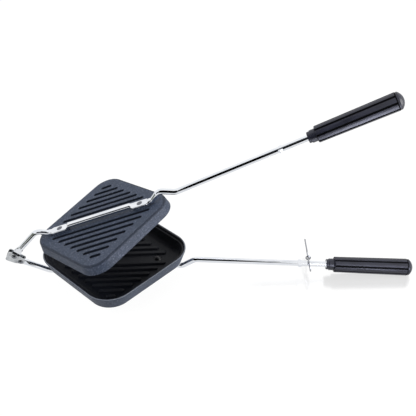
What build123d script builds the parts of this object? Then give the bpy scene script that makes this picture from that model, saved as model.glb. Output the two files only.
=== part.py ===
from build123d import *
from collections import namedtuple
import math
import os

# Sandwich maker: two ribbed pans on sprung rods, hinged like a jaw at one corner.
# Millimetres and degrees. Each arm is drawn closed, with x along the arm towards the grip, the
# hinge axis along y, z = 0 on the plane where the pans meet, and "out" meaning away from it.

# Pose
opening = 18.4             # angle the upper arm stands open in the part as it rests
hinge_x = -114.6           # hinge axis, measured from the middle of the pans

# Pans
rim_side = 125.0           # outer side of the upper pan where the pans meet
rim_corner = 23.8          # corner radius there
lower_round = 6.2          # the lower pan's outer corner radius is this much larger
upper_draft = 11.5         # slope of the pan's walls
lower_draft = 20.0
wall = 3.0
floor = 2.6
upper_depth = 11.5         # meeting plane to outer face
lower_depth = 15.4
nest_depth = 2.0           # how far the lower rim stands up round the upper one
nest_gap = 0.55            # side clearance where the rims nest
ledge = 1.8                # ledge in the lower pan that stops the upper rim
ledge_gap = 0.35           # left between rim and ledge when the tool is shut
outer_fillet = 2.4
inner_fillet = 6.5
rim_fillet = 0.6

# Ribs inside and grooves outside, both parallel to the arm
ribs_each_side = 7
pitch_share = 1 / 9.8      # rib pitch as a share of the half diagonal of the face
margin_share = 0.207       # the same share, from a groove's end along the arm to the face's edge
groove_width = 4.6
groove_depth = 2.1
groove_draft = 15.0
rib_height = 2.0
rib_width = 5.6
rib_draft = 22.0
rib_fillet = 0.9
rib_inset = 1.0            # ribs end this much earlier than the grooves

# Rods
rod_d = 6.4
bend = 10.0                # largest centreline radius of the bends
rivet_x = 48.5             # rivets either side of the middle
boss_height = 2.3
boss_length = 20.0
boss_width = 12.0
pad_length = 16.0
pad_width = 10.4
pad_thick = 3.1
pad_blend = 3.4            # length over which a pad turns round again
pad_run = 3.2              # straight round rod after that, before the next bend
hump_x = -75.2             # bend near the hinge
hump_out = 21.7            # and its height on the upper arm
upper_step = 23.0          # height of the hump on the grip side
lower_step = 24.9
step_top = (72.8, 77.0)
kink = (91.0, 16.6)        # where the long straight run to the grip starts
spread = 5.6               # slope of that run away from the meeting plane
swage_back = 30.5          # pressed ears that keep the lock link near the ferrule
swage_length = 5.0
swage_width = 9.6
swage_thick = 3.4

# Hinge
spade_width = 8.6
spade_thick = 2.4
spade_flat = 6.5           # flat length measured from the hinge axis
spade_blend = 8.0
hinge_pin_d = 4.0
pin_clear = 0.08           # radial running fit of the upper arm on its rivet
washer_thick = 0.6
washer_d = 8.0
side_gap = 0.3             # washer to bracket ear
sheet = 1.2
tang_drop = 4.2            # lower rod's axis below the hinge axis
tang_width = 6.6
tang_start = 5.2           # end of the tang, measured from the hinge axis
tang_over = 1.0            # tang past the bracket's tail
tang_blend = 6.0
bracket_front = 8.0        # ears reach this far past the hinge axis
bracket_back = 5.5
bracket_tail = 13.0
bracket_top = 4.4
tail_top = 0.9             # the ears narrow towards the tail, to this far above the hinge axis
tail_foot = 6.2            # and this far below it
ear_round = 2.6
tail_round = 1.6
tang_rivet = 8.9

# Grips
grip_x = 243.0             # start of the ferrule
ferrule_length = 9.0
ferrule_d = 13.6
ferrule_lip = 3.0          # narrower ring where the rod enters
ferrule_lip_d = 12.0
ferrule_spigot_d = 10.0
ferrule_spigot = 6.0
collar_d = 8.4             # shoulder swaged on the rod inside the ferrule
collar_length = 3.0
body_length = 85.5
body_d = (18.0, 19.6)      # at the ferrule and at the cap
body_round = 1.2
cap_length = 7.0
cap_step = 0.4
cap_spigot = 4.0
flutes = 8
flute_r = 1.3
flute_depth = 1.0
flute_turn_upper = 24.0
flute_turn_lower = 28.5
socket_d = 14.0            # recess for the nut, closed by the cap
socket_depth = 14.0
stud_d = 5.0
nut_flats = 8.0
nut_height = 4.0
nut_washer_d = 11.0
nut_washer = 1.0

# Lock link
link_back_off = 19.5       # in front of the ferrule
link_lean = 15.0           # turn of the loop about its own length
wire_d = 1.6
link_front = -11.5
link_back = 41.8
link_gap = 0.6             # loop to rod
waist_y = 10.0
waist_half = 1.5
waist_run = 7.0

# Rivets
pan_rivet_d = 4.5
inner_head = (9.0, 2.2)    # diameter and height
outer_head = (6.5, 1.0)
hinge_head = (6.0, 1.1)

# Sizes that follow from the ones above
rod_r = rod_d / 2
lower_side = rim_side + 2 * nest_gap + 2 * wall
swage_x = grip_x - swage_back
link_x = grip_x - link_back_off
tang_length = bracket_tail + tang_over - tang_start
leg_tilt = math.degrees(math.atan2(hump_out, hump_x - hinge_x))
ear_gap = spade_thick + 2 * washer_thick + 2 * side_gap
web_inner = tang_drop + tang_width / 2
cos_spread = math.cos(math.radians(spread))
tan_spread = math.tan(math.radians(spread))

# Sizes in which the two halves differ; a lip stands up round the other pan's rim
Half = namedtuple("Half", "side corner inner draft depth lip step")
upper_half = Half(rim_side, rim_corner, rim_corner - wall, upper_draft, upper_depth, 0, upper_step)
lower_half = Half(lower_side, rim_corner + lower_round, rim_corner + nest_gap, lower_draft,
                  lower_depth, nest_depth, lower_step)


def boss_top(half):
    return half.depth + boss_height


def pad_axis(half):
    return boss_top(half) + pad_thick / 2


def along_rod(x):
    # Outward height of the straight run at a given x.
    return kink[1] + (x - kink[0]) * tan_spread


def grip_frame():
    # Origin on the rod's axis at the ferrule's face, z along the rod towards the grip.
    direction = (cos_spread, 0, math.sin(math.radians(spread)))
    return Plane(origin=(grip_x, 0, along_rod(grip_x)), x_dir=(0, 1, 0), z_dir=direction)


def domed_head(diameter, height):
    # Flat side on the xy plane, dome above it.
    ball = (diameter * diameter / 4 + height * height) / (2 * height)
    cap = Pos(0, 0, height - ball) * Sphere(ball)
    return split(cap, bisect_by=Plane.XY, keep=Keep.TOP)


# Pans
def tapered_block(side, corner, low, high, draft):
    # Rounded square standing on its corner; side and corner radius are those at z = 0.
    grow = -low * math.tan(math.radians(draft))
    base = RectangleRounded(side + 2 * grow, side + 2 * grow, corner + grow)
    return extrude(Plane((0, 0, low)) * Rot(0, 0, 45) * base, amount=high - low, taper=draft)


def stripes(half_diagonal, inset):
    # Positions and half lengths of the parallel ribs or grooves on a square set on its corner.
    pitch = half_diagonal * pitch_share
    longest = half_diagonal * (1 - margin_share) - inset
    for step in range(1, ribs_each_side + 1):
        yield step * pitch, longest - step * pitch
        yield -step * pitch, longest - step * pitch


def pan(half):
    # A lip makes the rim stand up by that much and leaves a ledge inside for the other rim.
    side, corner, inner, draft, depth, lip = half[:6]
    outer = tapered_block(side, corner, -lip, depth, draft)
    outer = fillet(outer.faces().sort_by(Axis.Z)[-1].edges(), outer_fillet)
    shelf = ledge if lip else 0
    opening_side = side - 2 * wall
    hollow = tapered_block(opening_side - 2 * shelf, inner - shelf, -lip, depth - floor, draft)
    hollow = fillet(hollow.faces().sort_by(Axis.Z)[-1].edges(), inner_fillet)
    if lip:
        hollow += tapered_block(opening_side, inner, -lip, ledge_gap, draft)
    body = outer - hollow
    body = fillet(body.faces().sort_by(Axis.Z)[0].edges(), rim_fillet)
    face_half = (side - 2 * depth * math.tan(math.radians(draft))) / math.sqrt(2)
    for x in (-rivet_x, rivet_x):
        foot = Pos(x, 0, depth - 0.5) * SlotOverall(boss_length, boss_width)
        body += extrude(foot, amount=boss_height + 0.5, taper=6)
    for y, length in stripes(face_half, 0):
        mouth = Pos(0, y, depth) * SlotOverall(2 * length, groove_width)
        body -= extrude(mouth, amount=-groove_depth, taper=groove_draft)
    for y, length in stripes(face_half, rib_inset):
        foot = Pos(0, y, depth - floor) * SlotOverall(2 * length, rib_width)
        rib = extrude(foot, amount=-rib_height, taper=rib_draft)
        rib = fillet(rib.faces().sort_by(Axis.Z)[0].edges(), rib_fillet)
        body += rib
    for x in (-rivet_x, rivet_x):
        body -= Pos(x, 0, depth) * Cylinder(pan_rivet_d / 2, 4 * depth)
    return body


def pan_rivets(half):
    # Two solid rivets, each through the floor, the boss and a pad of the rod.
    inner = half.depth - floor
    outer = boss_top(half) + pad_thick
    rivet = Pos(0, 0, (inner + outer) / 2) * Cylinder(pan_rivet_d / 2, outer - inner)
    rivet += Pos(0, 0, inner) * Rot(180, 0, 0) * domed_head(*inner_head)
    rivet += Pos(0, 0, outer) * domed_head(*outer_head)
    return Compound([Pos(x, 0, 0) * rivet for x in (-rivet_x, rivet_x)])


# Rods
def bend_radii(points):
    # Bend radius at each corner: the usual one, or less where a straight run is short.
    radii = []
    for before, here, after in zip(points, points[1:], points[2:]):
        a = Vector(here[0] - before[0], 0, here[1] - before[1])
        b = Vector(after[0] - here[0], 0, after[1] - here[1])
        turn = math.radians(a.get_angle(b))
        radii.append(min(bend, 0.49 * min(a.length, b.length) / math.tan(turn / 2)))
    return radii


def bent_rod(points):
    # Round rod along straight runs in the xz plane, joined by bends.
    path = FilletPolyline(*[(x, 0, z) for x, z in points], radius=bend_radii(points))
    start = Plane(origin=path @ 0, z_dir=path % 0)
    return sweep(start * Circle(rod_r), path=path)


def pad(x, height, near):
    # Flat riveted pad at the given height, with a blend to the round rod at each end; near is
    # the height of the rod's axis on the side towards x = 0.
    flat = RectangleRounded(pad_width, pad_thick, 1.2)
    half = pad_length / 2
    side = math.copysign(1, x)
    ends = []
    for way, tip_height in ((-side, near), (side, height)):
        edge = Plane(origin=(x + way * half, 0, height), x_dir=(0, 1, 0), z_dir=(way, 0, 0))
        far_x = x + way * (half + pad_blend)
        tip = Plane(origin=(far_x, 0, tip_height), x_dir=(0, 1, 0), z_dir=(way, 0, 0))
        ends.append(loft([edge * flat, tip * Circle(rod_r)]))
    start = Plane(origin=(x - half, 0, height), x_dir=(0, 1, 0), z_dir=(1, 0, 0))
    body = extrude(start * flat, amount=pad_length)
    for end in ends:
        body += end
    body -= Pos(x, 0, height) * Cylinder(pan_rivet_d / 2, 4 * pad_thick)
    return body


def middle_rod(half):
    # Everything from the pad near the hinge to the free end of the stud.
    reach = rivet_x + pad_length / 2 + pad_blend
    inner = rivet_x - pad_length / 2 - pad_blend
    bar = boss_top(half) + rod_r
    low = pad_axis(half)
    body = Pos(0, 0, bar) * Rot(0, 90, 0) * Cylinder(rod_r, 2 * inner)
    body += pad(-rivet_x, low, bar)
    body += pad(rivet_x, low, bar)
    frame = grip_frame()
    shoulder = ferrule_length + body_length - socket_depth
    far = frame.from_local_coords(Vector(0, 0, shoulder))
    grip_side = [(reach, low), (reach + pad_run, low), (step_top[0], half.step)]
    grip_side += [(step_top[1], half.step), kink, (far.X, far.Z)]
    body += bent_rod(grip_side)
    up = (-math.sin(math.radians(spread)), 0, cos_spread)
    ears = Plane(origin=(swage_x, 0, along_rod(swage_x)), x_dir=(0, 1, 0), z_dir=up)
    body += extrude(ears * SlotOverall(swage_width, swage_length), amount=swage_thick / 2, both=True)
    body += frame * Pos(0, 0, collar_length / 2) * Cylinder(collar_d / 2, collar_length)
    stud = Pos(0, 0, shoulder + socket_depth * 0.3) * Cylinder(stud_d / 2, socket_depth * 0.6)
    body += frame * stud
    return body


def leg_plane(drop):
    # At the hinge, x along the leg towards the pans, z along the hinge axis; drop shifts the
    # leg outwards from the hinge axis.
    tilt = math.radians(leg_tilt)
    along = (math.cos(tilt), 0, math.sin(tilt))
    out = (-math.sin(tilt), 0, math.cos(tilt))
    origin = (hinge_x + drop * out[0], 0, drop * out[2])
    return Plane(origin=origin, x_dir=along, z_dir=(0, -1, 0))


def hump_corner(drop):
    # Corner of the rod's centreline near the hinge, on a leg shifted outwards by drop.
    return (hump_x, hump_out + drop / math.cos(math.radians(leg_tilt)))


def leg_rod(half, drop, length):
    # Round part of the leg, from the given distance before the hinge over the bend to the pad.
    plane = leg_plane(drop)
    start = plane.from_local_coords(Vector(length, 0, 0))
    reach = rivet_x + pad_length / 2 + pad_blend
    low = pad_axis(half)
    points = [(start.X, start.Z), hump_corner(drop), (-reach - pad_run, low), (-reach, low)]
    return bent_rod(points)


def upper_arm():
    plane = leg_plane(0)
    outline = Circle(spade_width / 2) + Pos(spade_flat / 2, 0) * Rectangle(spade_flat, spade_width)
    body = extrude(plane * outline, amount=spade_thick / 2, both=True)
    flat_end = plane.from_local_coords(Vector(spade_flat, 0, 0))
    cut = Plane(origin=flat_end, x_dir=(0, 1, 0), z_dir=plane.x_dir)
    tip = cut.offset(spade_blend)
    body += loft([cut * Rectangle(spade_thick, spade_width), tip * Circle(rod_r)])
    body += leg_rod(upper_half, 0, spade_flat + spade_blend)
    body += middle_rod(upper_half)
    hole = Cylinder(hinge_pin_d / 2 + pin_clear, 4 * spade_thick)
    body -= plane * hole
    return body


def lower_arm():
    # The tang is the rod's end pressed to the width between the bracket's ears.
    plane = leg_plane(tang_drop)
    flat = RectangleRounded(ear_gap, tang_width, 0.8)
    start = plane.from_local_coords(Vector(tang_start, 0, 0))
    near = Plane(origin=start, x_dir=(0, 1, 0), z_dir=plane.x_dir)
    far = near.offset(tang_length)
    body = extrude(near * flat, amount=tang_length)
    body += loft([far * flat, far.offset(tang_blend) * Circle(rod_r)])
    body += leg_rod(lower_half, tang_drop, tang_start + tang_length + tang_blend)
    body += middle_rod(lower_half)
    body -= plane * Pos(tang_rivet, 0, 0) * Cylinder(hinge_pin_d / 2, 4 * ear_gap)
    return body


# Hinge
def hinge_bracket():
    # Folded channel: two ears that narrow to a tail beside the tang, and a web below the hinge.
    plane = leg_plane(0)
    foot = web_inner + sheet
    corners = Pos(ear_round - bracket_front, ear_round - bracket_top) * Circle(ear_round)
    corners += Pos(ear_round - bracket_front, foot - ear_round) * Circle(ear_round)
    corners += Pos(bracket_back - ear_round, foot - ear_round) * Circle(ear_round)
    corners += Pos(bracket_tail - tail_round, tail_round - tail_top) * Circle(tail_round)
    corners += Pos(bracket_tail - tail_round, tail_foot - tail_round) * Circle(tail_round)
    outline = make_hull(corners.edges())
    body = extrude(plane * outline, amount=ear_gap / 2 + sheet, both=True)
    room = Pos(0, web_inner - 20) * Rectangle(4 * bracket_tail, 40)
    body -= extrude(plane * room, amount=ear_gap / 2, both=True)
    body -= plane * Cylinder(hinge_pin_d / 2, 4 * ear_gap)
    body -= plane * Pos(tang_rivet, tang_drop, 0) * Cylinder(hinge_pin_d / 2, 4 * ear_gap)
    return body


def cross_rivet(x, y):
    # Rivet across the bracket, at a place given along and out from the leg's own plane.
    half = ear_gap / 2 + sheet
    rivet = Cylinder(hinge_pin_d / 2, 2 * half)
    rivet += Pos(0, 0, half) * domed_head(*hinge_head)
    rivet += Pos(0, 0, -half) * Rot(180, 0, 0) * domed_head(*hinge_head)
    return leg_plane(0) * Pos(x, y, 0) * rivet


def hinge_washers():
    ring = Cylinder(washer_d / 2, washer_thick) - Cylinder(hinge_pin_d / 2 + pin_clear, washer_thick)
    lift = (spade_thick + washer_thick) / 2
    return Compound([leg_plane(0) * Pos(0, 0, way * lift) * ring for way in (-1, 1)])


# Grips, drawn along z from the ferrule's face
def ferrule():
    lip = Pos(0, 0, ferrule_lip / 2) * Cylinder(ferrule_lip_d / 2, ferrule_lip)
    body = Pos(0, 0, (ferrule_lip + ferrule_length) / 2)
    body *= Cylinder(ferrule_d / 2, ferrule_length - ferrule_lip)
    body = fillet(body.edges().filter_by(GeomType.CIRCLE), 0.6)
    body += fillet(lip.edges().sort_by(Axis.Z)[0], 0.6)
    spigot = Pos(0, 0, ferrule_length + ferrule_spigot / 2)
    body += spigot * Cylinder(ferrule_spigot_d / 2, ferrule_spigot)
    body -= Cylinder(rod_r, 6 * ferrule_length)
    body -= Pos(0, 0, collar_length / 2) * Cylinder(collar_d / 2, collar_length)
    return grip_frame() * body


def grip_body(turn):
    low = ferrule_length
    high = ferrule_length + body_length
    r0 = body_d[0] / 2
    r1 = body_d[1] / 2
    body = Pos(0, 0, (low + high) / 2) * Cone(r0, r1, body_length)
    body = fillet(body.edges().sort_by(Axis.Z)[0], body_round)
    lean = math.degrees(math.atan2(r1 - r0, body_length))
    for index in range(flutes):
        start = Pos(r0 + flute_r - flute_depth, 0, low) * Rot(0, lean, 0)
        groove = start * Pos(0, 0, body_length / 2) * Cylinder(flute_r, body_length + 4)
        body -= Rot(0, 0, turn + index * 360 / flutes) * groove
    body -= Pos(0, 0, low + ferrule_spigot / 2) * Cylinder(ferrule_spigot_d / 2, ferrule_spigot)
    body -= Pos(0, 0, high) * Cylinder(rod_r, 4 * body_length)
    body -= Pos(0, 0, high - socket_depth / 2) * Cylinder(socket_d / 2, socket_depth)
    return grip_frame() * body


def grip_cap():
    base = ferrule_length + body_length
    radius = body_d[1] / 2 - cap_step
    body = Pos(0, 0, base) * Cylinder(radius, 2.4, align=(Align.CENTER, Align.CENTER, Align.MIN))
    body += Pos(0, 0, base + 2.4) * domed_head(2 * radius, cap_length - 2.4)
    spigot = Pos(0, 0, base - cap_spigot / 2)
    body += spigot * Cylinder(socket_d / 2, cap_spigot)
    return grip_frame() * body


def grip_nut():
    seat = ferrule_length + body_length - socket_depth + nut_washer
    nut = extrude(RegularPolygon(nut_flats / 2, 6, major_radius=False), amount=nut_height)
    nut -= Cylinder(stud_d / 2, 4 * nut_height)
    return grip_frame() * Pos(0, 0, seat) * nut


def grip_washer():
    seat = ferrule_length + body_length - socket_depth + nut_washer / 2
    ring = Cylinder(nut_washer_d / 2, nut_washer) - Cylinder(stud_d / 2, nut_washer)
    return grip_frame() * Pos(0, 0, seat) * ring


# Lock link, drawn in the yz plane of its own frame on the lower rod
def link_frame():
    # Across the rod but leaning a little, with y along the loop.
    direction = (cos_spread, 0, -math.sin(math.radians(spread)))
    up = (-direction[2], 0, direction[0])
    across = Plane(origin=(link_x, 0, -along_rod(link_x)), x_dir=direction, z_dir=up)
    return across.rotated((0, -link_lean, 0))


def lock_link():
    # One loop of wire, pinched to a waist so that the rod stays in its short eye.
    wire_r = wire_d / 2
    wide = rod_r + link_gap + wire_r
    front = link_front + wire_r
    back = link_back - wire_r
    waist = wire_r + 0.05
    before = waist_y - waist_half
    after = waist_y + waist_half
    turn = wide * math.sqrt(0.5)
    steady = ((0, 1, 0), (0, 1, 0))
    ends = [(0, before - waist_run, wide), (0, before, waist), (0, after, waist), (0, after + waist_run, wide)]
    path = Wire([
        ThreePointArc((0, front, 0), (0, front + wide - turn, turn), (0, front + wide, wide)),
        Line((0, front + wide, wide), ends[0]),
        Spline(ends[0], ends[1], tangents=steady),
        Line(ends[1], ends[2]),
        Spline(ends[2], ends[3], tangents=steady),
        Line(ends[3], (0, back - wide, wide)),
        ThreePointArc((0, back - wide, wide), (0, back - wide + turn, turn), (0, back, 0)),
    ])
    start = Plane(origin=(0, front, 0), z_dir=(0, 0, 1))
    half = sweep(start * Circle(wire_r), path=path)
    body = half + mirror(half, about=Plane.XY)
    return link_frame() * body


def link_ring():
    # Ring of wire pressed round the two sides of the link at its waist.
    inner = wire_d + 0.05
    ring = Torus(inner + wire_d / 2, wire_d / 2)
    return link_frame() * Pos(0, waist_y, 0) * Rot(90, 0, 0) * ring


# Assembly
def upper(shape):
    pivot = Pos(hinge_x, 0, 0)
    return pivot * Rot(0, -opening, 0) * pivot.inverse() * shape


def lower(shape):
    return mirror(shape, about=Plane.XY)


def build():
    parts = {}
    parts["lower_pan"] = lower(pan(lower_half))
    parts["upper_pan"] = upper(pan(upper_half))
    parts["lower_arm"] = lower(lower_arm())
    parts["upper_arm"] = upper(upper_arm())
    parts["lower_pan_rivets"] = lower(pan_rivets(lower_half))
    parts["upper_pan_rivets"] = upper(pan_rivets(upper_half))
    parts["hinge_bracket"] = lower(hinge_bracket())
    parts["hinge_rivet"] = lower(cross_rivet(0, 0))
    parts["tang_rivet"] = lower(cross_rivet(tang_rivet, tang_drop))
    parts["hinge_washers"] = upper(hinge_washers())
    for name, place, turn in (("lower", lower, flute_turn_lower), ("upper", upper, flute_turn_upper)):
        parts[name + "_ferrule"] = place(ferrule())
        parts[name + "_grip"] = place(grip_body(turn))
        parts[name + "_grip_cap"] = place(grip_cap())
        parts[name + "_grip_nut"] = place(grip_nut())
        parts[name + "_grip_washer"] = place(grip_washer())
    parts["lock_link"] = lock_link()
    parts["link_ring"] = link_ring()
    return parts


def stance(parts):
    # Tip the whole tool so that the bend near the hinge and the end of the lower grip both
    # touch the ground, then put the origin under the middle of its bounding box.
    leg = leg_rod(lower_half, tang_drop, tang_start + tang_length + tang_blend)
    heel = lower(leg).bounding_box().min.Z
    radius = body_d[1] / 2
    end = grip_frame().from_local_coords(Vector(0, 0, ferrule_length + body_length))
    toe = -end.Z - radius * cos_spread
    tip = math.degrees(math.atan2(heel - toe, end.X - hump_x))
    turned = Rot(0, -tip, 0)
    box = Compound([turned * part for part in parts.values()]).bounding_box()
    return Pos(-(box.min.X + box.max.X) / 2, 0, -box.min.Z) * turned


def main():
    os.makedirs("parts", exist_ok=True)
    parts = build()
    place = stance(parts)
    for name, part in parts.items():
        export_step(place * part, "parts/" + name + ".step")
    for name, frame in (("hinge", Plane((hinge_x, 0, 0))), ("link", link_frame())):
        spot = place * Location(frame)
        print(name, "at", [round(v, 3) for v in tuple(spot.position)])
    print("tipped", round(place.orientation.Y, 4), "shifted", place.position)


main()
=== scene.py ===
import math
import bmesh
import bpy
from mathutils import Matrix, Vector

# Stovetop sandwich maker: two ribbed pans on chromed rods, with black fluted grips
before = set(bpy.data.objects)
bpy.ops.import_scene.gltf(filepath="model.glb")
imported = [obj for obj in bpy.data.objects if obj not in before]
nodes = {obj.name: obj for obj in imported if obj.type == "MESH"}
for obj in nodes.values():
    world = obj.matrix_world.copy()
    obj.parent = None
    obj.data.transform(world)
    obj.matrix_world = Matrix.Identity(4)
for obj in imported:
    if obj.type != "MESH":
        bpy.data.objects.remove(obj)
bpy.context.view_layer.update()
mm = 0.001
scene = bpy.context.scene

# Sizes that the patterns follow, in mm and degrees, as in the part's own source
tool = {
    "tip": 3.0983,             # the whole tool leans back by this much as it lies
    "opening": 18.4,
    "hinge": (-225.04, 0, 26.045),
    "hingeToMiddle": 114.6,    # along an arm, to the middle of its pan
    "spread": 5.6,             # slope of a long rod against its own pan
    "kink": (91.0, 16.6),      # start of the long rod: along the pan and out from its rim
    "gripStart": 243.0,
    "floor": 2.6,
}
pans = {
    "lower": {"side": 132.1, "corner": 30.0, "draft": 20.0, "depth": 15.4, "lean": tool["tip"], "flip": True},
    "upper": {"side": 125.0, "corner": 23.8, "draft": 11.5, "depth": 11.5,
              "lean": tool["tip"] + tool["opening"], "flip": False},
}


def linearColour(text):
    # sRGB hex to the linear values that the nodes take
    channels = [int(text[i:i + 2], 16) / 255 for i in (1, 3, 5)]
    return [c / 12.92 if c <= 0.04045 else ((c + 0.055) / 1.055) ** 2.4 for c in channels] + [1.0]


def addNode(tree, kind, sockets=None, **settings):
    # settings are the node's own; sockets take numbers, colours, or links from other nodes
    node = tree.nodes.new(kind)
    for name, value in settings.items():
        setattr(node, name, value)
    for name, value in (sockets or {}).items():
        if isinstance(value, bpy.types.NodeSocket):
            tree.links.new(value, node.inputs[name])
        else:
            node.inputs[name].default_value = value
    return node


def newMaterial(name):
    material = bpy.data.materials.new(name)
    material.use_nodes = True
    material.node_tree.nodes.clear()
    return material, material.node_tree


def finish(tree, sockets):
    shader = addNode(tree, "ShaderNodeBsdfPrincipled", sockets)
    addNode(tree, "ShaderNodeOutputMaterial", {"Surface": shader.outputs[0]})


def dress(names, material):
    for name in names:
        slots = nodes[name].data.materials
        slots.clear()
        slots.append(material)


def place(thing, name):
    made = bpy.data.objects.new(name, thing)
    scene.collection.objects.link(made)
    return made


# Small pattern helpers; positions are in mm, so a pattern's scale is one over its size
def positions(tree, stretch=(1, 1, 1)):
    spot = addNode(tree, "ShaderNodeTexCoord").outputs["Object"]
    scale = [way / mm for way in stretch]
    return addNode(tree, "ShaderNodeMapping", {"Vector": spot, "Scale": scale}).outputs[0]


def noise(tree, spot, size, detail=2.0):
    sockets = {"Vector": spot, "Scale": 1 / size, "Detail": detail, "Roughness": 0.55}
    return addNode(tree, "ShaderNodeTexNoise", sockets).outputs["Fac"]


def level(tree, value, start, end, low=0.0, high=1.0):
    # value between start and end, carried to between low and high
    sockets = {"Value": value, "From Min": start, "From Max": end, "To Min": low, "To Max": high}
    return addNode(tree, "ShaderNodeMapRange", sockets).outputs[0]


def maths(tree, operation, first, second):
    return addNode(tree, "ShaderNodeMath", {0: first, 1: second}, operation=operation).outputs[0]


def mixColour(tree, share, first, second):
    return addNode(tree, "ShaderNodeMix", {0: share, 6: first, 7: second}, data_type="RGBA").outputs[2]


def mixNumber(tree, share, first, second):
    return addNode(tree, "ShaderNodeMix", {0: share, 2: first, 3: second}, data_type="FLOAT").outputs[0]


def bump(tree, height, depth):
    # depth in mm
    sockets = {"Height": height, "Distance": depth * mm, "Strength": 1.0}
    return addNode(tree, "ShaderNodeBump", sockets).outputs[0]


print("stage: camera")
photoView = {
    "place": (-19.3, -642.41, 589.04),    # mm
    "right": (0.99982, -0.01097, 0.01529),
    "forward": (0.01801, 0.7928, -0.60922),
    "lens": 64.13,
}
right = Vector(photoView["right"]).normalized()
back = -Vector(photoView["forward"]).normalized()
up = back.cross(right).normalized()
right = up.cross(back)
cameraData = bpy.data.cameras.new("photoCamera")
cameraData.lens = photoView["lens"]
cameraData.sensor_width = 36
cameraData.sensor_fit = "HORIZONTAL"
camera = place(cameraData, "photoCamera")
turn = Matrix((right, up, back)).transposed().to_4x4()
camera.matrix_world = Matrix.Translation(Vector(photoView["place"]) * mm) @ turn
scene.camera = camera

print("stage: floor and light")
studio = {
    "floorHalf": 3.0,            # m
    "floorColour": "#BEBEBE",    # of the paper as it lights the tool
    "floorSeen": "#595959",      # what the camera adds for lamps on the paper, so that shadows stay
    "floorGlow": "#F9F9F9",      # and what it sees without any lamp
    "floorShine": 0.29,          # of that, mirror image beside the lower grip
    # m along and across the tool: middle of that polished strip, full within, none beyond
    "floorStrip": ((0.15, 0.09, 0.12), (-0.03, 0.05, 0.08)),
    "floorGlowInChrome": 0.75,
    "skyForCoats": 0.22,         # world on matt surfaces; polished ones see it white
    "lamps": [
        # name, place in metres, power in watts, width of the lamp in metres, seen in reflections
        ("overhead", (-0.30, 0.75, 1.00), 7.5, 1.8, False),
        ("frontRight", (1.60, -0.40, 0.50), 29, 1.3, True),
        ("frontLeft", (-0.95, -0.60, 1.15), 12, 1.0, False),
    ],
    # cards that only polished surfaces see; each stands beside a stretch of an arm, given in mm
    # along it and out from the rim, in the direction where its middle is to be mirrored. They
    # are placed for photoView at rest; from behind they show as dark patches on the chrome
    "cards": [
        {"name": "darkLongRod", "arm": "upper", "from": (70, 16.6), "to": (345, 42.0), "shade": "#050505",
         "direction": (-0.42, -0.80, 0.36), "away": 230, "half": 230, "glow": 1},
        {"name": "darkBar", "arm": "upper", "from": (-110, 17.0), "to": (100, 17.0), "shade": "#2A2C33",
         "direction": (-0.38, -0.83, 0.41), "away": 240, "half": 95, "glow": 1},
        {"name": "darkLeg", "arm": "upper", "from": (-125, -6.0), "to": (-72, 23.0), "shade": "#24261F",
         "direction": (-0.25, -0.88, -0.40), "away": 60, "half": 25, "glow": 1},
        {"name": "greyLeft", "arm": "upper", "from": (-170, -32.0), "to": (-50, 36.0), "shade": "#767A70",
         "direction": (-0.81, -0.57, 0.09), "away": 200, "half": 150, "glow": 1},
        {"name": "darkLowRod", "arm": "lower", "from": (80, 16.0), "to": (235, 31.0), "shade": "#4A4C50",
         "direction": (0.0, -0.29, 0.96), "away": 260, "half": 32, "glow": 1},
        {"name": "whiteUpperGrip", "arm": "upper", "from": (252, 32.0), "to": (335, 41.0), "shade": "#DDE0F4",
         "direction": (0.33, -0.67, -0.65), "away": 220, "half": 80, "glow": 12},
        {"name": "whiteLowerGrip", "arm": "lower", "from": (252, 32.0), "to": (335, 41.0), "shade": "#DDE0F4",
         "direction": (0.31, -0.72, 0.62), "away": 300, "half": 60, "glow": 3},
    ],
}


def panFrame(pan):
    # place of the pan's middle and turn of its own axes, z outwards, in the row frame
    lean = Matrix.Rotation(-math.radians(pan["lean"]), 3, "Y")
    middle = Vector(tool["hinge"]) + lean @ Vector((tool["hingeToMiddle"], 0, 0))
    if pan["flip"]:
        lean = lean @ Matrix.Rotation(math.pi, 3, "X")
    return middle, lean


def makePlane(name, corners):
    mesh = bpy.data.meshes.new(name)
    shape = bmesh.new()
    shape.faces.new([shape.verts.new(corner) for corner in corners])
    shape.to_mesh(mesh)
    shape.free()
    plane = place(mesh, name)
    return plane


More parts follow.
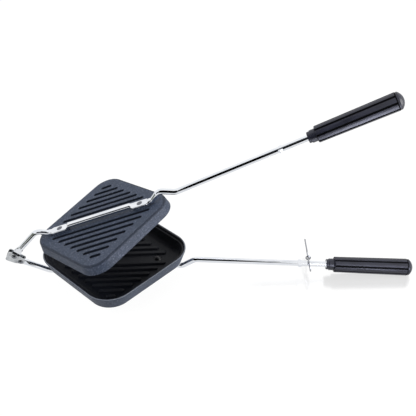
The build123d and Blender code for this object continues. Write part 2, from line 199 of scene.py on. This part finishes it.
def makeFloor(half):
    floor = makePlane("studioFloor", [(-half, -half, 0), (half, -half, 0), (half, half, 0), (-half, half, 0)])
    material, tree = newMaterial("whitePaper")
    rays = addNode(tree, "ShaderNodeLightPath")
    seen, mirrored = rays.outputs["Is Camera Ray"], rays.outputs["Is Glossy Ray"]
    paper = mixColour(tree, seen, linearColour(studio["floorColour"]), linearColour(studio["floorSeen"]))
    matt = addNode(tree, "ShaderNodeBsdfDiffuse", {"Color": paper}).outputs[0]
    plainWhite = {"Color": linearColour("#FFFFFF"), "Strength": 1.0}
    white = addNode(tree, "ShaderNodeEmission", plainWhite).outputs[0]
    glow = addNode(tree, "ShaderNodeEmission", {"Color": linearColour(studio["floorGlow"])}).outputs[0]
    polish = {"Color": linearColour(studio["floorGlow"]), "Roughness": 0.2}
    mirror = addNode(tree, "ShaderNodeBsdfGlossy", polish).outputs[0]
    spot = addNode(tree, "ShaderNodeTexCoord").outputs["Object"]
    spot = addNode(tree, "ShaderNodeSeparateXYZ", {0: spot})
    shine = studio["floorShine"]
    for way, (middle, within, beyond) in enumerate(studio["floorStrip"]):
        away = maths(tree, "ABSOLUTE", maths(tree, "SUBTRACT", spot.outputs[way], middle), 0.0)
        shine = maths(tree, "MULTIPLY", shine, level(tree, away, beyond, within))
    glow = addNode(tree, "ShaderNodeMixShader", {0: shine, 1: glow, 2: mirror}).outputs[0]
    front = addNode(tree, "ShaderNodeAddShader", {0: glow, 1: matt}).outputs[0]
    share = maths(tree, "MULTIPLY", mirrored, studio["floorGlowInChrome"])
    others = addNode(tree, "ShaderNodeMixShader", {0: share, 1: matt, 2: white}).outputs[0]
    both = addNode(tree, "ShaderNodeMixShader", {0: seen, 1: others, 2: front})
    addNode(tree, "ShaderNodeOutputMaterial", {"Surface": both.outputs[0]})
    floor.data.materials.append(material)


def makeWorld():
    world = bpy.data.worlds.new("studioWorld")
    world.use_nodes = True
    tree = world.node_tree
    tree.nodes.clear()
    white = linearColour("#FFFFFF")
    sky = addNode(tree, "ShaderNodeBackground", {"Color": white, "Strength": studio["skyForCoats"]})
    bright = addNode(tree, "ShaderNodeBackground", {"Color": white, "Strength": 1.0})
    rays = addNode(tree, "ShaderNodeLightPath")
    seen = maths(tree, "MAXIMUM", rays.outputs["Is Camera Ray"], rays.outputs["Is Glossy Ray"])
    both = addNode(tree, "ShaderNodeMixShader", {0: seen, 1: sky.outputs[0], 2: bright.outputs[0]})
    addNode(tree, "ShaderNodeOutputWorld", {"Surface": both.outputs[0]})
    scene.world = world


def makeLamps():
    for name, spot, power, width, mirrored in studio["lamps"]:
        data = bpy.data.lights.new(name, "AREA")
        data.energy = power
        data.size = width
        lamp = place(data, name)
        lamp.visible_glossy = mirrored
        spot = Vector(spot)
        lamp.matrix_world = Matrix.Translation(spot) @ spot.to_track_quat("Z", "Y").to_matrix().to_4x4()


def makeCard(card):
    middle, turn = panFrame(pans[card["arm"]])
    start, end = [middle + turn @ Vector((along, 0, out)) for along, out in (card["from"], card["to"])]
    towards = Vector(card["direction"]).normalized()
    across = (end - start).cross(towards).normalized() * card["half"]
    offset = towards * card["away"]
    corners = [start - across, end - across, end + across, start + across]
    plane = makePlane(card["name"], [(corner + offset) * mm for corner in corners])
    plane.visible_camera = False
    plane.visible_diffuse = False
    plane.visible_shadow = False
    plane.visible_transmission = False
    material, tree = newMaterial(card["name"] + "Card")
    shade = {"Color": linearColour(card["shade"]), "Strength": card["glow"]}
    glow = addNode(tree, "ShaderNodeEmission", shade)
    addNode(tree, "ShaderNodeOutputMaterial", {"Surface": glow.outputs[0]})
    plane.data.materials.append(material)


makeFloor(studio["floorHalf"])
makeWorld()
makeLamps()
for card in studio["cards"]:
    makeCard(card)
scene.view_settings.view_transform = "Standard"

print("stage: pans")


def panPositions(tree, pan, quarter):
    # the pan's own axes in mm, z outwards; quarter turns them 45 degrees, square to the walls
    middle, turn = panFrame(pan)
    if quarter:
        turn = turn @ Matrix.Rotation(math.radians(45), 3, "Z")
    spot = addNode(tree, "ShaderNodeTexCoord").outputs["Object"]
    sockets = {"Vector": spot, "Location": middle * mm, "Rotation": turn.to_euler(), "Scale": [mm] * 3}
    return addNode(tree, "ShaderNodeMapping", sockets, vector_type="TEXTURE").outputs[0]


bands = {
    # mm in from the outer wall, where each band starts and is full: the black inner coat, the painted shade
    # on the edge, and the painted highlight along the rim
    "inside": (-1.4, -1.8),
    "edge": (-2.1, -1.5),        # in from the wall and below the outer face, added
    "rimHighlightBand": ((-1.6, -1.2), (-0.2, -0.5)),
    "grooveField": -4.0,         # grooves lie further in than this
    "grooveDepth": (0.1, 0.9),   # below the outer face
    "slack": 0.3,                # past a face, so that it is all taken in
}


def panShares(tree, pan):
    # four masks: the black inner coat with the top of the rim, the grooves in the outer face for
    # painted shade, the edge between that face and the walls for painted shade, and a line along the
    # top of the rim for a painted highlight
    spot = panPositions(tree, pan, quarter=True)
    straight = pan["side"] / 2 - pan["corner"]
    away = addNode(tree, "ShaderNodeVectorMath", {0: spot}, operation="ABSOLUTE").outputs[0]
    sockets = {0: away, 1: (straight, straight, 1000)}
    away = addNode(tree, "ShaderNodeVectorMath", sockets, operation="SUBTRACT").outputs[0]
    away = addNode(tree, "ShaderNodeVectorMath", {0: away, 1: (0, 0, 0)}, operation="MAXIMUM").outputs[0]
    reach = addNode(tree, "ShaderNodeVectorMath", {0: away}, operation="LENGTH").outputs["Value"]
    out = addNode(tree, "ShaderNodeSeparateXYZ", {0: spot}).outputs["Z"]
    sunk = maths(tree, "MULTIPLY", out, math.tan(math.radians(pan["draft"])))
    reach = maths(tree, "SUBTRACT", maths(tree, "ADD", reach, sunk), pan["corner"])
    outermost, full = bands["inside"]
    within = level(tree, reach, full, outermost, 1.0, 0.0)
    below = maths(tree, "LESS_THAN", out, pan["depth"] - tool["floor"] + bands["slack"])
    inside = maths(tree, "MULTIPLY", within, below)
    shallow, deepest = bands["grooveDepth"]
    deep = level(tree, out, pan["depth"] - shallow, pan["depth"] - deepest)
    # grooves in the outer face, which take painted shade
    grooveShade = maths(tree, "MULTIPLY", deep, maths(tree, "LESS_THAN", reach, bands["grooveField"]))
    past = maths(tree, "ADD", reach, maths(tree, "SUBTRACT", out, pan["depth"]))
    # the edge between the outer face and the walls, for painted shade
    edge = level(tree, past, *bands["edge"])
    # a line along the top of the rim, for a painted highlight
    inner, outer = [level(tree, reach, *ends) for ends in bands["rimHighlightBand"]]
    rimHighlight = maths(tree, "MULTIPLY", inner, outer)
    rimHighlight = maths(tree, "MULTIPLY", rimHighlight, maths(tree, "LESS_THAN", out, bands["slack"]))
    return inside, grooveShade, edge, rimHighlight


def panCoat(name, pan):
    # Cast aluminium with slate-blue enamel outside, finely speckled and sparkling, and a smoother
    # black non-stick coat inside, which makes the hollow read as nearly black. The pale flecks are the
    # enamel's speckle and also painted glints for its sparkle. The grooves and the edge between face
    # and walls are darkened with painted shade, and the pale line on the rim is a painted highlight.
    coat = {"grain": 0.9, "fleck": 0.55, "cloud": 22.0, "grainDepth": 0.035, "gloss": 0.26}
    material, tree = newMaterial(name)
    spot = panPositions(tree, pan, quarter=False)
    grain = noise(tree, spot, coat["grain"], 3.0)
    cloud = noise(tree, spot, coat["cloud"])
    cells = addNode(tree, "ShaderNodeTexVoronoi", {"Vector": spot, "Scale": 1 / coat["fleck"]})
    fleck = addNode(tree, "ShaderNodeSeparateColor", {0: cells.outputs["Color"]}).outputs[0]
    # pale flecks: the enamel's speckle, and painted glints for its sparkle
    fleckAndGlint = level(tree, fleck, 0.90, 1.0)
    inside, grooveShade, edge, rimHighlight = panShares(tree, pan)
    outer = mixColour(tree, level(tree, grain, 0.32, 0.68), linearColour("#282E3A"), linearColour("#455063"))
    outer = mixColour(tree, level(tree, cloud, 0.3, 0.7, 0.0, 0.22), outer, linearColour("#4E5870"))
    outer = mixColour(tree, maths(tree, "MULTIPLY", fleckAndGlint, 0.55), outer, linearColour("#9AA0B8"))
    # grooves darkened to near black: painted shade
    outer = mixColour(tree, maths(tree, "MULTIPLY", grooveShade, 0.85), outer, linearColour("#0C0E14"))
    # that edge darkened: painted shade
    outer = mixColour(tree, maths(tree, "MULTIPLY", edge, 0.5), outer, linearColour("#14171F"))
    inner = mixColour(tree, level(tree, grain, 0.35, 0.65), linearColour("#0D0F14"), linearColour("#1C1F28"))
    both = mixColour(tree, inside, outer, inner)
    outerRough = level(tree, grain, 0.3, 0.7, 0.44, 0.60)
    innerRough = level(tree, grain, 0.3, 0.7, 0.44, 0.56)
    finish(tree, {
        # pale line along the rim top: painted highlight
        "Base Color": mixColour(tree, maths(tree, "MULTIPLY", rimHighlight, 0.6), both, linearColour("#9CA0A8")),
        "Roughness": mixNumber(tree, inside, outerRough, innerRough),
        "Specular IOR Level": mixNumber(tree, inside, coat["gloss"], 0.24),
        "Normal": bump(tree, grain, coat["grainDepth"]),
    })
    return material


dress(["lower_pan"], panCoat("speckledPanCoatLower", pans["lower"]))
dress(["upper_pan"], panCoat("speckledPanCoatUpper", pans["upper"]))


def rivetSkin(name, pan):
    # Aluminium rivets: satin grey heads outside, and the same black coat on the inner heads.
    material, tree = newMaterial(name)
    spot = panPositions(tree, pan, quarter=False)
    grain = noise(tree, spot, 0.7, 3.0)
    out = addNode(tree, "ShaderNodeSeparateXYZ", {0: spot}).outputs["Z"]
    inside = maths(tree, "LESS_THAN", out, pan["depth"] - tool["floor"] + 0.3)
    metal = mixColour(tree, level(tree, grain, 0.3, 0.7), linearColour("#5E6068"), linearColour("#85878E"))
    black = mixColour(tree, level(tree, grain, 0.35, 0.65), linearColour("#0E0F13"), linearColour("#1C1D23"))
    finish(tree, {
        "Base Color": mixColour(tree, inside, metal, black),
        "Metallic": mixNumber(tree, inside, 1.0, 0.0),
        "Roughness": level(tree, grain, 0.3, 0.7, 0.24, 0.38),
        "Normal": bump(tree, grain, 0.02),
    })
    return material


dress(["lower_pan_rivets"], rivetSkin("satinRivetLower", pans["lower"]))
dress(["upper_pan_rivets"], rivetSkin("satinRivetUpper", pans["upper"]))

print("stage: metal")


def plating(name, light, dark, rough, haze, stretch=(1, 1, 1), size=6.0, depth=0.004):
    # Polished plate: clouds of slightly duller metal, so that its reflections are not perfect.
    material, tree = newMaterial(name)
    spot = positions(tree, stretch)
    cloud = noise(tree, spot, size, 3.0)
    fine = noise(tree, spot, size / 12, 2.0)
    share = level(tree, cloud, 0.35, 0.7)
    finish(tree, {
        "Base Color": mixColour(tree, share, linearColour(light), linearColour(dark)),
        "Metallic": 1.0,
        "Roughness": mixNumber(tree, share, rough, rough + haze),
        "Normal": bump(tree, fine, depth),
    })
    return material


# Bright chrome on the rods, drawn along them, mirrors the white studio and the dark cards
dress(["lower_arm", "upper_arm"], plating("mirrorChrome", "#F2F4F8", "#E0E4EB", 0.05, 0.05, (0.25, 1, 1)))
# Chromed sheet, a little duller and wavier from pressing
dress(["hinge_bracket"], plating("chromedSheet", "#CDD0D3", "#A0A3A7", 0.14, 0.12, size=6.0, depth=0.012))
# Zinc-plated steel on the small fasteners, satin and darker than the chrome round them
steel = plating("zincSteel", "#8C8F95", "#6A6D74", 0.26, 0.14, size=2.0, depth=0.01)
dress(["hinge_rivet", "tang_rivet", "hinge_washers"], steel)
dress([side + piece for side in ("lower", "upper") for piece in ("_grip_nut", "_grip_washer")], steel)
# Bare spring wire on the link, darker than the rods, with fine drawing lines
wire = plating("springWire", "#A9ABB0", "#7E8086", 0.18, 0.12, (1, 0.15, 1), size=1.5)
dress(["lock_link", "link_ring"], wire)

print("stage: grips")


def gripPositions(tree, arm):
    # a grip's own axes in mm, z along it from the ferrule's face
    middle, turn = panFrame(pans[arm])
    slope = math.radians(tool["spread"])
    rise = (tool["gripStart"] - tool["kink"][0]) * math.tan(slope)
    start = middle + turn @ Vector((tool["gripStart"], 0, tool["kink"][1] + rise))
    turn = turn @ Matrix.Rotation(math.pi / 2 - slope, 3, "Y")
    spot = addNode(tree, "ShaderNodeTexCoord").outputs["Object"]
    sockets = {"Vector": spot, "Location": start * mm, "Rotation": turn.to_euler(), "Scale": [mm] * 3}
    return addNode(tree, "ShaderNodeMapping", sockets, vector_type="TEXTURE").outputs[0]


def phenolic(name, arm):
    # Moulded black phenolic with a blue cast: the lands are buffed to a soft lilac gloss, the flutes
    # keep the mould's matt skin, and their near-black colour is painted shade, so they read as dark lines.
    grip = {"startRadius": 9.0, "endRadius": 9.8, "from": 9.0, "length": 85.5, "fluteDepth": 1.0}
    material, tree = newMaterial(name)
    spot = gripPositions(tree, arm)
    drawn = addNode(tree, "ShaderNodeVectorMath", {0: spot, 1: (1, 1, 0.2)}, operation="MULTIPLY").outputs[0]
    flow = noise(tree, drawn, 3.5, 3.0)
    skin = noise(tree, spot, 0.8, 2.0)
    across = addNode(tree, "ShaderNodeVectorMath", {0: spot, 1: (1, 1, 0)}, operation="MULTIPLY").outputs[0]
    radius = addNode(tree, "ShaderNodeVectorMath", {0: across}, operation="LENGTH").outputs["Value"]
    along = addNode(tree, "ShaderNodeSeparateXYZ", {0: spot}).outputs["Z"]
    end = grip["from"] + grip["length"]
    land = level(tree, along, grip["from"], end, grip["startRadius"], grip["endRadius"])
    depth = maths(tree, "SUBTRACT", land, radius)
    # how far into a flute, for its matt skin and the painted shade in it
    sunk = level(tree, depth, 0.1, 0.5 * grip["fluteDepth"])
    body = maths(tree, "GREATER_THAN", along, grip["from"] + 0.3)
    body = maths(tree, "MULTIPLY", body, maths(tree, "LESS_THAN", along, end))
    sunk = maths(tree, "MULTIPLY", sunk, body)
    # a narrow ring where the flutes end at the cap, painted dark as shade
    capGapShade = addNode(tree, "ShaderNodeMath", {0: along, 1: end, 2: 0.6}, operation="COMPARE").outputs[0]
    sunk = maths(tree, "MAXIMUM", sunk, capGapShade)
    gloss = mixColour(tree, level(tree, flow, 0.3, 0.7), linearColour("#1B1C28"), linearColour("#2B2D3C"))
    finish(tree, {
        # near-black in the flutes and in the ring at the cap end is painted shade
        "Base Color": mixColour(tree, sunk, gloss, linearColour("#07070A")),
        "Roughness": mixNumber(tree, sunk, level(tree, flow, 0.3, 0.7, 0.30, 0.42), 0.6),
        "Specular IOR Level": mixNumber(tree, sunk, 0.5, 0.05),
        "Normal": bump(tree, skin, 0.006),
    })
    return material


for arm in ("lower", "upper"):
    moulding = phenolic("blackPhenolic" + arm.title(), arm)
    dress([arm + piece for piece in ("_ferrule", "_grip", "_grip_cap")], moulding)
